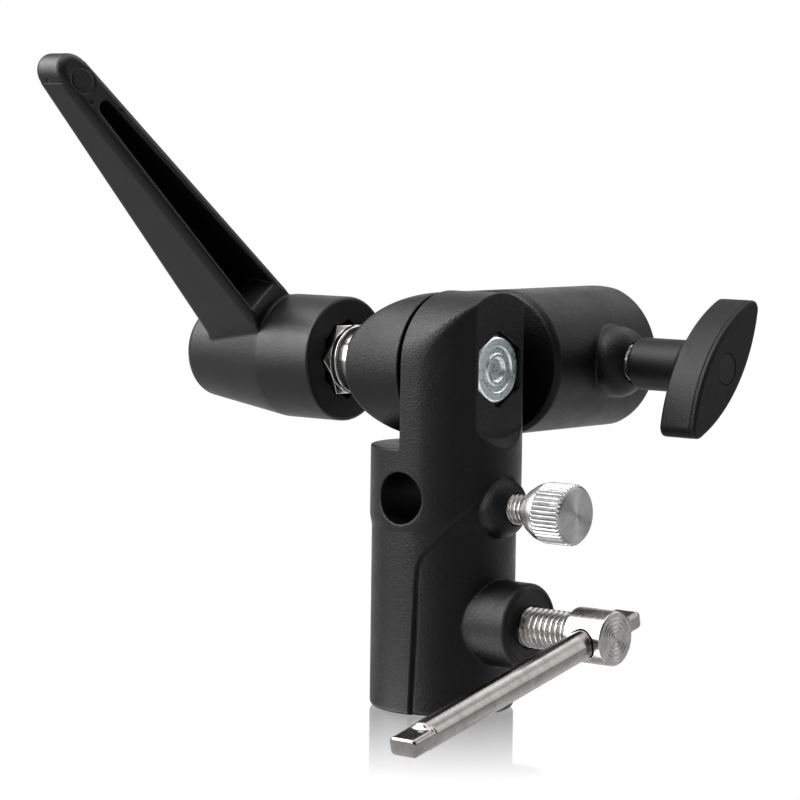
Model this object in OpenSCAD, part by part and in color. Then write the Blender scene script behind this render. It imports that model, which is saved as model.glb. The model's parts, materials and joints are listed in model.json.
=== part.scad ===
// Umbrella swivel bracket: a stand socket column and a tilting stud socket head.
// The tilt axis is X. The head barrel points along +Y at rest, the column stands on z = 0.

/* [Column and head castings] */
// Radius of the column and of the head barrel
body_r = 15; // [14.5:0.1:16]
// Height of the tilt axis above the foot of the column
tilt_h = 67.8; // [67:0.1:72]
// Drop from the tilt axis to the shelf beside each ear
shelf_drop = 15.6; // [15.5:0.1:16.5]
// Radius of the column below the moulded step
lower_r = 14.6; // [14.3:0.1:15]
// Radius of the sunk panel around the clamp screw bosses
panel_r = 14.1; // [13.8:0.1:14.3]
// Distance from the tilt axis to the mouth of the head barrel
barrel_end = 52.3; // [50:0.1:56]
// X of the machined flat around the bolt head
spot_x = 13.1; // [12.8:0.1:13.5]
// X of the washer seat on the head's ear
seat_x = -14.1; // [-14.5:0.1:-13.8]

/* [Sockets and holes] */
// Radius of the stand socket and of the head socket, for a 16 mm spigot
socket_r = 8.1; // [8.05:0.05:8.3]
// Depth of the stand socket
stand_depth = 34; // [30:1:35]
// Depth of the head socket
head_depth = 32; // [28:1:33]
// Radius of the umbrella shaft hole
umbrella_r = 5.1; // [4.5:0.1:5.3]
// Height of the umbrella shaft hole
umbrella_z = 42.6; // [42.4:0.1:43]

/* [Tilt clamp] */
// Width across flats of the bolt head
bolt_af = 13; // [12.8:0.1:13]
// Thread radius of the tilt bolt
bolt_r = 4; // [3.9:0.05:4]
// Thickness of the friction washer between the ears
friction_t = 0.5; // [0.4:0.1:0.6]
// Width across flats of the clamp nut
nut_af = 13.9; // [13.5:0.1:13.9]
// Radius of the round collar and spacer beside the nut
collar_r = 6.85; // [6.5:0.05:6.9]

/* [Ratchet lever] */
// Radius of the lever hub
hub_r = 12.65; // [12.4:0.05:13]
// Angle of the lever arm from upright, about the tilt axis
lever_turn = 38; // [0:1:60]
// Reach of the lever arm from the tilt axis
lever_reach = 76; // [70:1:84]
// Half width of the arm at the hub
arm_root_w = 6; // [5:0.1:6.4]
// Half width of the arm at its tip
arm_tip_w = 3.8; // [3:0.1:4.2]
// Outward lean of the arm's inner face
face_lean = 18.6; // [18:0.1:21]
// Outward lean of the arm's back
back_lean = 10.5; // [8:0.1:11]
// Number of turns in the return spring
spring_turns = 7; // [5:1:8]

/* [Clamp screws] */
// Height of the umbrella clamp screw
thumb_z = 40.8; // [40.6:0.1:41.2]
// Thread radius of the umbrella clamp screw
thumb_r = 3; // [2.9:0.05:3]
// Radius of the knurled thumb knob
thumb_knob_r = 6; // [5.8:0.1:6.2]
// Height of the stand clamp screw
stand_z = 18; // [17:0.5:19]
// Thread radius of the stand and head clamp screws
clamp_r = 4; // [3.9:0.05:4]
// Radius of the stand screw's head
stand_head_r = 5.3; // [5:0.1:5.5]
// Radius of the tommy bar
bar_r = 2.8; // [2.5:0.05:2.85]
// Length of the tommy bar
bar_len = 71; // [68:1:78]
// Droop of the tommy bar below level
bar_droop = 13; // [10:0.1:14]
// Distance of the head clamp screw from the tilt axis, along the barrel
knob_y = 36.5; // [35:0.5:38]
// Tip to tip length of the wing knob
wing_len = 33.5; // [30:0.5:34]
// Greatest width of the wing knob's outline
wing_w = 11.6; // [10:0.2:12.5]
// Angle of the wing from upright
wing_turn = 38.8; // [0:0.2:90]

/* [Hidden] */
$fn = 96;

shelf_z = tilt_h - shelf_drop;
cut = 0.1;             // overshoot of every cutting solid
run_fit = 0.05;        // radial clearance of a turning or sliding fit
hex_out = 1 / cos(30); // corner radius of a hexagon over half its width across flats

// Ears and the friction washer between them
ear_x = -0.1;
washer_x = ear_x - run_fit;
head_ear_x = washer_x - friction_t - run_fit;

// Step of the column between its lower and upper radius
step_low_z = 35.8;
step_high_z = 38.6;
foot_chamfer = 1.1;

// Seam of the sunk panel, seen along Y
seam_foot_x = 3.1;
seam_bend = [4.4, 29.5];
seam_top = [12.9, 41.7];
seam_bend_r = 4;
seam_w = 0.6;
seam_deep = 0.5;

// Bosses around the three clamp screws
thumb_boss_r = 6.2;
thumb_boss_x = 18;
knob_boss_r = 7.3;
knob_boss_x = 20.4;
boss_start_x = 6;
boss_round = 4.4;
stand_boss_r = 8.5;
stand_boss_x = 22;
stand_boss_chamfer = 0.8;

// Tilt bolt
bolt_face_x = 12.5;
bolt_head_t = 5.3;
pocket_x = bolt_face_x - bolt_head_t;
pocket_af = bolt_af + 0.3;
bolt_end_x = -28.5;
spot_low_r = 13.4;     // radius of the machined flat below the axis
spot_high_r = 16.2;    // radius where its sloping ledge runs out

// Clamp stack, from the head's ear outwards
washer_t = 1.6;
spacer_x = seat_x - washer_t;
collar_x = -23.4;
nut_hex_x = -24.8;
nut_end_x = -34;
nut_thread_end_x = -29.5;

// Lever hub
hub_face_x = -26;
hub_cone_x = -40.3;
hub_end_x = -63;
hub_end_r = 9;
hub_round = 2;
spline_end_x = -34.4;
shoulder_x = -36.5;
spring_bore_r = 6.8;
spring_end_x = -56.4;
spring_wire_r = 0.6;
spring_r = 5.7;
lever_screw_r = 2.5;
lever_head_r = 4.25;
lever_washer_t = 1.2;
lever_head_t = 4;

// Lever arm, in the plane through the tilt axis that the arm lies in
arm_foot = 12.65;      // distance from the axis where the faces' X values hold
arm_face_x = -39.3;
arm_back_x = -56.1;
arm_start = 8;
arm_clip_x = -40;       // the arm's foot ends here on the hub's round side
pocket_low = 15.9;
pocket_high = 64.7;
pocket_wall = 2;
pocket_low_w = 3.7;
pocket_high_w = 1.7;
pocket_ramp = 4;
mark_r = 2.6;
mark_at = 70.3;
mark_deep = 0.2;

// Umbrella clamp screw
thumb_tip_x = 5.4;
thumb_tip_t = 1.8;
thumb_back_x = 22;
thumb_back_r = 4.2;
thumb_collar_x = 24.6;
thumb_collar_r = 5.7;
thumb_knurl_x = 25.4;
thumb_face_x = 32.3;
thumb_face_r = 5.3;
thumb_bore = 6;         // depth of the knob's hole for its screw

// Stand clamp screw and tommy bar
stand_tip_x = 8.3;
pad_t = 1.6;
stand_head_x = 33.2;
stand_face_x = 42.1;
bar_x = 37.5;
bar_hole_r = bar_r + 0.1;
bar_far = 11.4;        // end of the bar beyond the head, along the bar
crimp_long = 7;
crimp_short = 5.8;     // its inner end rests just clear of the screw's head
crimp_w = 6.2;
crimp_t = 3.6;

// Head clamp screw
knob_tip_x = 8.3;
shaft_r = 5.3;
shaft_x = 20.5;
shaft_round = 1.5;
wing_back_x = 33.4;
wing_face_x = 41.8;
wing_sag = wing_w / 2;
wing_half_chord = wing_len / 2 + 1.8;
wing_arc_r = (wing_half_chord * wing_half_chord + wing_sag * wing_sag) / (2 * wing_sag);
cap_r = 3.2;
cap_t = 0.6;

// A rod along +X from a point
module rod_x(x, z, r, len, y = 0)
    translate([x, y, z]) rotate([0, 90, 0]) cylinder(h = len, r = r);

// A hexagonal prism along +X on the tilt axis, with two corners up and down
module hex_x(x, af, len, turn = 0)
    translate([x, 0, tilt_h]) rotate([turn, 0, 0]) rotate([0, 90, 0])
        cylinder(h = len, r = af / 2 * hex_out, $fn = 6);

// A solid of revolution along +X: its outline is a list of [x, radius]
module turned_x(outline, z, y = 0)
    translate([0, y, z]) rotate([0, 90, 0]) rotate_extrude()
        polygon([for (p = outline) [p[1], p[0]]]);

// Points of a quarter circle that rounds off an outline, from angle a0 to a1
function corner(cx, cy, r, a0, a1, n = 6) =
    [for (i = [0:n]) let (a = a0 + (a1 - a0) * i / n) [cx + r * cos(a), cy + r * sin(a)]];

// ---------- Castings ----------

module column_blank()
    rotate_extrude() polygon([
        [0, 0], [lower_r - foot_chamfer, 0], [lower_r, foot_chamfer],
        [lower_r, step_low_z], [body_r, step_high_z], [body_r, shelf_z], [0, shelf_z]
    ]);

// The half-round ear: column surface below the axis, rounded about the axis above it
module column_ear()
    intersection() {
        translate([0, 0, shelf_z - 1]) cylinder(h = shelf_drop + body_r + 1, r = body_r);
        translate([ear_x, -body_r, 0]) cube([body_r - ear_x, 2 * body_r, tilt_h + body_r]);
        union() {
            rod_x(ear_x, tilt_h, body_r, body_r - ear_x);
            translate([ear_x, -body_r, shelf_z - 1])
                cube([body_r - ear_x, 2 * body_r, shelf_drop + 1]);
        }
    }

// Outline of the sunk panel in X and Z, moved towards -X by grow
function seam_outline(grow) = concat(
    [[seam_foot_x - grow, -1]],
    [[seam_bend[0] - grow, seam_bend[1] - seam_bend_r / 2]],
    [[seam_bend[0] - grow + 0.25, seam_bend[1] + 0.6]],
    [[seam_bend[0] - grow + 0.9, seam_bend[1] + 2.6]],
    [[seam_bend[0] - grow + 2.1, seam_bend[1] + 4.8]],
    [[seam_bend[0] - grow + 4.2, seam_bend[1] + 7.4]],
    [[seam_top[0] - grow, seam_top[1]]],
    [[body_r + 1, seam_top[1] + 1], [body_r + 1, -1]]
);

// Everything of a tube wall whose X and Z lie inside an outline
module shell_cut(outline, r)
    intersection() {
        difference() {
            translate([0, 0, -1]) cylinder(h = shelf_z, r = body_r + 1);
            translate([0, 0, -2]) cylinder(h = shelf_z + 2, r = r);
        }
        rotate([90, 0, 0]) linear_extrude(2 * body_r + 4, center = true) polygon(outline);
    }

// Sunk panel, and the narrow groove along its edge
module panel_cut() {
    shell_cut(seam_outline(0), panel_r);
    intersection() {
        shell_cut(seam_outline(seam_w), panel_r - seam_deep);
        rotate([90, 0, 0]) linear_extrude(2 * body_r + 4, center = true)
            difference() {
                polygon(seam_outline(seam_w));
                polygon(seam_outline(-0.1));
            }
    }
}

// Machined flat around the bolt head, with a sloping ledge below it
module spot_cut() {
    translate([spot_x, -body_r, tilt_h]) cube([4, 2 * body_r, body_r + 1]);
    translate([spot_x, 0, tilt_h]) rotate([0, 90, 0])
        cylinder(h = spot_high_r - spot_low_r, r1 = spot_low_r, r2 = spot_high_r);
}

module domed_boss(r, face_x, z, y = 0)
    let (round_x = face_x - boss_round - 0.2, flat_r = r - boss_round)
    turned_x(concat([[boss_start_x, 0], [boss_start_x, r], [round_x, r]],
        corner(round_x, flat_r, boss_round, 90, 15),
        [[face_x, flat_r], [face_x, 0]]), z, y);

module stand_socket_body() color([0.06, 0.06, 0.065])
    difference() {
        union() {
            difference() {
                column_blank();
                panel_cut();
            }
            column_ear();
            domed_boss(thumb_boss_r, thumb_boss_x, thumb_z);
            turned_x([[8.6, 0], [8.6, stand_boss_r], [stand_boss_x - stand_boss_chamfer, stand_boss_r],
                [stand_boss_x, stand_boss_r - stand_boss_chamfer], [stand_boss_x, 0]], stand_z);
        }
        translate([0, 0, -cut]) cylinder(h = stand_depth + cut, r = socket_r);
        translate([0, body_r + 1, umbrella_z]) rotate([90, 0, 0])
            cylinder(h = 2 * body_r + 2, r = umbrella_r);
        rod_x(2, thumb_z, thumb_r + run_fit, thumb_boss_x);
        rod_x(4, stand_z, clamp_r + run_fit, stand_boss_x);
        spot_cut();
        hex_x(pocket_x, pocket_af, 8);
        rod_x(ear_x - 1, tilt_h, bolt_r + 0.2, pocket_x - ear_x + 2);
    }

// The barrel along +Y, with its rounded mouth
module barrel_blank()
    translate([0, 0, tilt_h]) rotate([-90, 0, 0]) rotate_extrude()
        polygon(concat([[0, shelf_drop + 1], [body_r - 0.8, shelf_drop + 1],
            [body_r, shelf_drop + 1.8]],
            corner(body_r - 3, barrel_end - 3, 3, 0, 90), [[0, barrel_end]]));

module head_ear()
    intersection() {
        translate([0, -body_r, tilt_h]) rotate([-90, 0, 0])
            cylinder(h = 2 * body_r + shelf_drop, r = body_r);
        translate([seat_x, -body_r, tilt_h - body_r])
            cube([head_ear_x - seat_x, body_r + shelf_drop + 3, 2 * body_r]);
        union() {
            rod_x(seat_x, tilt_h, body_r, head_ear_x - seat_x);
            translate([seat_x, 0, tilt_h - body_r])
                cube([head_ear_x - seat_x, shelf_drop + 3, 2 * body_r]);
        }
    }

module head_body() color([0.06, 0.06, 0.065])
    difference() {
        union() {
            barrel_blank();
            head_ear();
            domed_boss(knob_boss_r, knob_boss_x, tilt_h, knob_y);
        }
        translate([0, barrel_end - head_depth, tilt_h]) rotate([-90, 0, 0])
            cylinder(h = head_depth + cut, r = socket_r);
        rod_x(4, tilt_h, clamp_r + run_fit, knob_boss_x, knob_y);
        rod_x(seat_x - 1, tilt_h, bolt_r + run_fit, head_ear_x - seat_x + 2);
    }

// ---------- Tilt clamp ----------

module ring_x(x, z, r_out, r_in, len)
    difference() {
        rod_x(x, z, r_out, len);
        rod_x(x - cut, z, r_in, len + 2 * cut);
    }

module friction_washer() color([0.2, 0.2, 0.21])
    ring_x(washer_x - friction_t, tilt_h, 13, bolt_r + 0.2, friction_t);

module tilt_bolt() color([0.78, 0.8, 0.8]) {
    difference() {
        intersection() {
            hex_x(pocket_x, bolt_af, bolt_head_t);
            turned_x([[pocket_x, 0], [pocket_x, 8], [bolt_face_x - 1, 8],
                [bolt_face_x, bolt_af / 2 - 0.5], [bolt_face_x, 0]], tilt_h);
        }
        ring_x(bolt_face_x - 0.35, tilt_h, 4.6, 3.1, 1);
        rod_x(bolt_face_x - 0.6, tilt_h, 2.3, 1);
    }
    turned_x([[pocket_x + cut, 0], [pocket_x + cut, bolt_r], [bolt_end_x + 0.8, bolt_r],
        [bolt_end_x, bolt_r - 0.8], [bolt_end_x, 0]], tilt_h);
}

module clamp_washer() color([0.8, 0.8, 0.8])
    ring_x(spacer_x, tilt_h, 8, bolt_r + run_fit, washer_t);

module clamp_spacer() color([0.85, 0.85, 0.85])
    ring_x(collar_x, tilt_h, collar_r - 0.1, bolt_r + run_fit, spacer_x - collar_x);

module clamp_nut() color([0.85, 0.85, 0.85])
    difference() {
        union() {
            turned_x([[collar_x, 0], [collar_x, collar_r - 0.4], [collar_x - 0.5, collar_r],
                [nut_hex_x - 0.4, collar_r], [nut_hex_x - 0.4, 0]], tilt_h);
            intersection() {
                hex_x(nut_end_x, nut_af, nut_hex_x - nut_end_x, 30);
                turned_x([[nut_end_x, 0], [nut_end_x, nut_af / 2], [nut_end_x + 0.8, 8.3],
                    [nut_hex_x - 0.3, 8.3], [nut_hex_x, 7.9], [nut_hex_x, 0]], tilt_h);
            }
        }
        rod_x(nut_thread_end_x, tilt_h, bolt_r + run_fit, 8);
        rod_x(nut_end_x - 1, tilt_h, lever_screw_r, 8.2);
    }

// ---------- Ratchet lever ----------

// Turns children into the plane of the lever arm, with the tilt axis at their origin
module on_lever() translate([0, 0, tilt_h]) rotate([lever_turn, 0, 0]) children();

// X of a leaning face at height h above the tilt axis
function lean_x(x, lean, h) = x - (h - arm_foot) * tan(lean);

// Half width of the arm at height h
function arm_w(h) = arm_root_w + (arm_tip_w - arm_root_w) * (h - arm_foot) / (lever_reach - arm_foot);

// Extrudes an outline in X and height across the arm, or one in Y and height along X
module across_arm(outline) rotate([90, 0, 0]) linear_extrude(16, center = true) polygon(outline);
module through_arm() rotate([90, 0, 90]) translate([0, 0, -90]) linear_extrude(70) children();

module lever_arm()
    intersection() {
        across_arm([
            [lean_x(arm_face_x, face_lean, arm_start), arm_start],
            [lean_x(arm_face_x, face_lean, lever_reach), lever_reach],
            [lean_x(arm_back_x, back_lean, lever_reach) + 0.8, lever_reach],
            [lean_x(arm_back_x, back_lean, lever_reach - 2), lever_reach - 2],
            [lean_x(arm_back_x, back_lean, arm_start), arm_start]
        ]);
        through_arm() {
            polygon([[-arm_w(arm_start), arm_start], [arm_w(arm_start), arm_start],
                [arm_w(lever_reach - arm_tip_w), lever_reach - arm_tip_w],
                [-arm_w(lever_reach - arm_tip_w), lever_reach - arm_tip_w]]);
            translate([0, lever_reach - arm_tip_w]) circle(r = arm_tip_w);
        }
        translate([arm_clip_x - 60, -10, 0]) cube([60, 20, 90]);
    }

module arm_pocket()
    intersection() {
        across_arm([
            [lean_x(arm_face_x, face_lean, pocket_low) + 1, pocket_low],
            [lean_x(arm_face_x, face_lean, pocket_high) + 1, pocket_high],
            [lean_x(arm_back_x, back_lean, pocket_high) + pocket_wall, pocket_high],
            [lean_x(arm_back_x, back_lean, pocket_low + pocket_ramp) + pocket_wall,
                pocket_low + pocket_ramp],
            [lean_x(arm_face_x, face_lean, pocket_low) - 0.5, pocket_low]
        ]);
        through_arm() {
            polygon([[-pocket_low_w, pocket_low], [pocket_low_w, pocket_low],
                [pocket_high_w, pocket_high - pocket_high_w],
                [-pocket_high_w, pocket_high - pocket_high_w]]);
            translate([0, pocket_high - pocket_high_w]) circle(r = pocket_high_w);
        }
    }

// The shallow round mark on the arm's inner face, near its tip
module arm_mark()
    translate([lean_x(arm_face_x, face_lean, mark_at), 0, mark_at])
        rotate([0, 90 - face_lean, 0]) translate([0, 0, -mark_deep]) cylinder(h = 2, r = mark_r);

module lever_hub()
    turned_x(concat([[hub_face_x, 0], [hub_face_x, hub_r - 0.6], [hub_face_x - 0.6, hub_r],
        [hub_cone_x, hub_r]],
        corner(hub_end_x + hub_round, hub_end_r + 0.3 - hub_round, hub_round, 100, 180),
        [[hub_end_x, 0]]), tilt_h);

// Twelve-point spline made of two hexagons
module spline_cut()
    for (turn = [0, 30])
        hex_x(spline_end_x, nut_af + 0.2, hub_face_x - spline_end_x + cut, turn);

module lever_handle() color([0.05, 0.05, 0.055])
    difference() {
        union() {
            lever_hub();
            on_lever() difference() {
                lever_arm();
                arm_pocket();
                arm_mark();
            }
        }
        spline_cut();
        rod_x(shoulder_x - 1, tilt_h, lever_screw_r + 0.1, 4);
        rod_x(hub_end_x - 1, tilt_h, spring_bore_r, shoulder_x - hub_end_x + 1);
    }

// Rings of points along a helix about X, then skinned as one closed tube
spring_sides = 8;
spring_rings = spring_turns * 14;
spring_a = shoulder_x - spring_wire_r - 0.05;
spring_b = spring_end_x + spring_wire_r + 0.05;
function spring_ring(i) =
    let (f = i / spring_rings, t = 360 * spring_turns * f, x = spring_a + (spring_b - spring_a) * f)
    [for (k = [0:spring_sides - 1]) let (a = 360 * k / spring_sides, r = spring_r + spring_wire_r * cos(a))
        [x + spring_wire_r * sin(a), r * cos(t), tilt_h + r * sin(t)]];

module lever_spring() color([0.6, 0.6, 0.62])
    polyhedron(
        points = [for (i = [0:spring_rings]) each spring_ring(i)],
        faces = concat(
            [[for (k = [0:spring_sides - 1]) k]],
            [for (i = [0:spring_rings - 1]) for (k = [0:spring_sides - 1])
                let (a = i * spring_sides + k, b = i * spring_sides + (k + 1) % spring_sides)
                [a, a + spring_sides, b + spring_sides, b]],
            [[for (k = [spring_sides - 1:-1:0]) spring_rings * spring_sides + k]]));

module lever_screw_washer() color([0.7, 0.7, 0.7])
    ring_x(spring_end_x - lever_washer_t, tilt_h, spring_bore_r - 0.3, lever_screw_r + 0.05,
        lever_washer_t);

module lever_retaining_screw() color([0.15, 0.15, 0.16]) {
    head_x = spring_end_x - lever_washer_t;
    rod_x(head_x, tilt_h, lever_screw_r, nut_thread_end_x - head_x - 0.5);
    difference() {
        rod_x(head_x - lever_head_t, tilt_h, lever_head_r, lever_head_t);
        hex_x(head_x - lever_head_t - 1, 4, 3.4);
    }
}

// ---------- Umbrella clamp screw ----------

module umbrella_screw_tip() color([0.75, 0.62, 0.3])
    rod_x(thumb_tip_x, thumb_z, thumb_r - 0.6, thumb_tip_t);

module umbrella_screw() color([0.8, 0.8, 0.8])
    rod_x(thumb_tip_x + thumb_tip_t, thumb_z, thumb_r,
        thumb_back_x + thumb_bore - thumb_tip_x - thumb_tip_t);

module umbrella_knob() color([0.85, 0.85, 0.86])
    difference() {
        turned_x([[thumb_back_x, 0], [thumb_back_x, thumb_back_r], [thumb_collar_x, thumb_collar_r],
            [thumb_knurl_x, thumb_collar_r], [thumb_knurl_x + 0.2, thumb_knob_r],
            [thumb_face_x - 0.8, thumb_knob_r], [thumb_face_x, thumb_face_r],
            [thumb_face_x, 0]], thumb_z);
        rod_x(thumb_back_x - 1, thumb_z, thumb_r, thumb_bore + 1);
    }

// ---------- Stand clamp screw ----------

module stand_screw_pad() color([0.75, 0.62, 0.3])
    rod_x(stand_tip_x, stand_z, clamp_r - 0.4, pad_t);

// Turns children to lie along the tommy bar, with its hole's centre at their origin
module on_bar() translate([bar_x, 0, stand_z]) rotate([bar_droop, 0, 0]) children();

module stand_screw() color([0.8, 0.8, 0.8])
    difference() {
        union() {
            rod_x(stand_tip_x + pad_t, stand_z, clamp_r, stand_head_x + 1 - stand_tip_x - pad_t);
            turned_x([[stand_head_x, 0], [stand_head_x, stand_head_r - 0.5],
                [stand_head_x + 0.5, stand_head_r], [stand_face_x - 0.3, stand_head_r],
                [stand_face_x, stand_head_r - 0.3], [stand_face_x, 0]], stand_z);
        }
        on_bar() rotate([90, 0, 0]) cylinder(h = 20, r = bar_hole_r, center = true);
    }

// A round bar with a flattened, wider end at each side
module tommy_bar() color([0.75, 0.75, 0.76]) on_bar() {
    near = bar_far - bar_len;
    translate([0, bar_far - crimp_short + 0.5, 0]) rotate([90, 0, 0])
        cylinder(h = bar_len - crimp_short - crimp_long + 0.5, r = bar_r);
    translate([-crimp_w / 2, near, -crimp_t / 2]) cube([crimp_w, crimp_long + 0.5, crimp_t]);
    translate([-crimp_w / 2, bar_far - crimp_short, -crimp_t / 2])
        cube([crimp_w, crimp_short, crimp_t]);
}

// ---------- Head clamp screw ----------

module head_screw_pad() color([0.75, 0.62, 0.3])
    rod_x(knob_tip_x, tilt_h, clamp_r - 0.4, pad_t, knob_y);

module head_knob_stud() color([0.8, 0.8, 0.8])
    rod_x(knob_tip_x + pad_t, tilt_h, clamp_r, shaft_x + 14 - knob_tip_x - pad_t, knob_y);

// A lens with blunt tips, cut along X
module wing_blade()
    translate([0, knob_y, tilt_h]) rotate([-wing_turn, 0, 0]) intersection() {
        wing_side(1);
        wing_side(-1);
        translate([wing_back_x, 0, 0]) rotate([0, 90, 0])
            cylinder(h = wing_face_x - wing_back_x, r = wing_len / 2);
    }

// One of the two arcs that bound the wing's outline
module wing_side(side)
    translate([wing_back_x, side * (wing_arc_r - wing_sag), 0]) rotate([0, 90, 0])
        cylinder(h = wing_face_x - wing_back_x, r = wing_arc_r);

module head_knob_wing() color([0.05, 0.05, 0.055])
    difference() {
        union() {
            wing_blade();
            turned_x(concat([[shaft_x, 0]],
                corner(shaft_x + shaft_round, shaft_r - shaft_round, shaft_round, 180, 90),
                [[wing_back_x + 1, shaft_r], [wing_back_x + 1, 0]]), tilt_h, knob_y);
        }
        rod_x(shaft_x - 1, tilt_h, clamp_r, 15, knob_y);
        rod_x(wing_face_x - cap_t, tilt_h, cap_r, 2, knob_y);
    }

module head_knob_cap() color([0.06, 0.06, 0.065])
    rod_x(wing_face_x - cap_t, tilt_h, cap_r - 0.05, cap_t - 0.1, knob_y);

stand_socket_body();
head_body();
friction_washer();
tilt_bolt();
clamp_washer();
clamp_spacer();
clamp_nut();
lever_handle();
lever_spring();
lever_screw_washer();
lever_retaining_screw();
umbrella_screw_tip();
umbrella_screw();
umbrella_knob();
stand_screw_pad();
stand_screw();
tommy_bar();
head_screw_pad();
head_knob_stud();
head_knob_wing();
head_knob_cap();
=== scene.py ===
"""Umbrella swivel bracket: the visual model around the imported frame.

Each shown piece is the surface where a distance field is zero. A field is a function of x, y and z in
millimetres, in the row frame, and is negative inside the piece. Fields join and cut each other with
rounded edges, as cast, moulded and turned parts have them: the last value of both(), either() and cut()
is the radius of that edge.
"""

import json
import math

import bpy
import numpy as np
from mathutils import Matrix, Vector

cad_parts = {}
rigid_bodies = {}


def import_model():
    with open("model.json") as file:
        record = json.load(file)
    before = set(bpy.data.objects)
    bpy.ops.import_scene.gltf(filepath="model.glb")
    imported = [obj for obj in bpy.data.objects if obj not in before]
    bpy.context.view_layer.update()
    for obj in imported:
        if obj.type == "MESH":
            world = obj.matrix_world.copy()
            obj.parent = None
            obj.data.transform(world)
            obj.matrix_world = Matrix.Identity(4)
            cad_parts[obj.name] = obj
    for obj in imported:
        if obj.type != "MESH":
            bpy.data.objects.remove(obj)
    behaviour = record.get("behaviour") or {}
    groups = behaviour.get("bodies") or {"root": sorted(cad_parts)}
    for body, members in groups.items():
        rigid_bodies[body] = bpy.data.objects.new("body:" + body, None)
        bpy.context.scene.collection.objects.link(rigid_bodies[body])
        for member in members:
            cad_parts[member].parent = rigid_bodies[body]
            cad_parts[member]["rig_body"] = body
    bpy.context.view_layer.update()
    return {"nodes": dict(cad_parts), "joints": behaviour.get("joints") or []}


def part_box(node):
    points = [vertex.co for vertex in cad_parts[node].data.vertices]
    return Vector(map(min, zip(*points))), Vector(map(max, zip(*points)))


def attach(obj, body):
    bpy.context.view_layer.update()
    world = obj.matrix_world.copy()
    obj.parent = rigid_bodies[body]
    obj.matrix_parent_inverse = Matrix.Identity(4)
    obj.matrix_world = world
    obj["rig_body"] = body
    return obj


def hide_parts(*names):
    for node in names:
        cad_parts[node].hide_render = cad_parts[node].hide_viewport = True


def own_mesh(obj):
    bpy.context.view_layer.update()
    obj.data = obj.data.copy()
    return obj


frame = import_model()

MM = 0.001
COARSER = 1.0
JOINTS = {j["name"]: j for j in frame["joints"]}


def node_box(name):
    """Lowest and highest corner of a CAD node, in mm."""
    low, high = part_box(name)
    return [c / MM for c in low], [c / MM for c in high]


# ---------- Shapes as fields ----------

def both(a, b, r=0.0):
    """Where a and b overlap, with the edge between them rounded by r."""
    if r <= 0:
        return np.maximum(a, b)
    corner = np.hypot(np.maximum(a + r, 0), np.maximum(b + r, 0))
    return np.minimum(np.maximum(a, b), -r) + corner


def either(a, b, r=0.0):
    """a and b joined, with a fillet of radius r between them."""
    return -both(-a, -b, r)


def cut(a, b, r=0.0):
    """a without b, with the edge between them rounded by r."""
    return both(a, -b, r)


def bevelled(a, b, size, r=0.1):
    """Where a and b overlap, with a flat chamfer of that size along their edge."""
    return both(both(a, b), (a + b + size) * math.sqrt(0.5), r)


def slab(t, low, high):
    return np.abs(t - (low + high) / 2) - (high - low) / 2


def rod(a, b, r):
    return np.hypot(a, b) - r


def ball(a, b, c, r):
    return np.sqrt(np.square(a) + np.square(b) + np.square(c)) - r


def cone(from_axis, along, r, widening):
    """Inside a cone around X that has radius r where along is 0 and widens by that much for each mm."""
    return (from_axis - r - along * widening) / math.hypot(1, widening)


def hexagon(y, z, af, turn=0.0):
    """A hexagonal bar along X, with flats towards +Y and -Y when turn is 0."""
    faces = [np.abs(y * math.cos(t) + z * math.sin(t)) for t in (turn + k * math.pi / 3 for k in range(3))]
    return np.maximum(np.maximum(faces[0], faces[1]), faces[2]) - af / 2


def ramp(t):
    """0 below t = 0, 1 above t = 1, and smooth between."""
    t = np.clip(t, 0, 1)
    return t * t * (3 - 2 * t)


def groove(t, depth, width):
    """How much a soft groove along t = 0 takes off."""
    return depth * np.exp(-np.square(t / width))


def zigzag(turns):
    """A wave between 0 and 1, with one tooth for each whole turn."""
    return np.abs(2 * (turns - np.floor(turns)) - 1)


def screw(x, y, z, r, pitch, depth):
    """An endless screw along X with a right-hand thread."""
    crest_start, crest_rise, steepest = 0.18, 0.66, 0.72
    wave = zigzag(x / pitch - np.arctan2(z, y) / (2 * math.pi))
    crest = np.clip((wave - crest_start) / crest_rise, 0, 1)
    return (np.hypot(y, z) - r + depth * (1 - crest)) * steepest


# ---------- Surfaces from fields ----------

MARGIN = 1.5  # cells between a piece's box and the grid's edge
MAX_MOVE = 0.6  # cells that a vertex may move towards the surface
SLOPE_REACH = 0.02  # mm
BEND_REACH = 0.5  # mm
MAX_BEND = 3


def slope(field, points, reach):
    """The field's gradient at each point."""
    columns = []
    for axis in range(3):
        e = np.zeros(3)
        e[axis] = reach
        columns.append((field(*(points + e).T) - field(*(points - e).T)) / (2 * reach))
    return np.stack(columns, 1)


def sharpness(field, points):
    """How sharply the surface bends at each point: 0 on flats, above 0 on outer edges."""
    bend = -6 * field(*points.T)
    for axis in range(3):
        e = np.zeros(3)
        e[axis] = BEND_REACH
        bend = bend + field(*(points + e).T) + field(*(points - e).T)
    return np.clip(bend / (BEND_REACH * BEND_REACH), -MAX_BEND, MAX_BEND)


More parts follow.
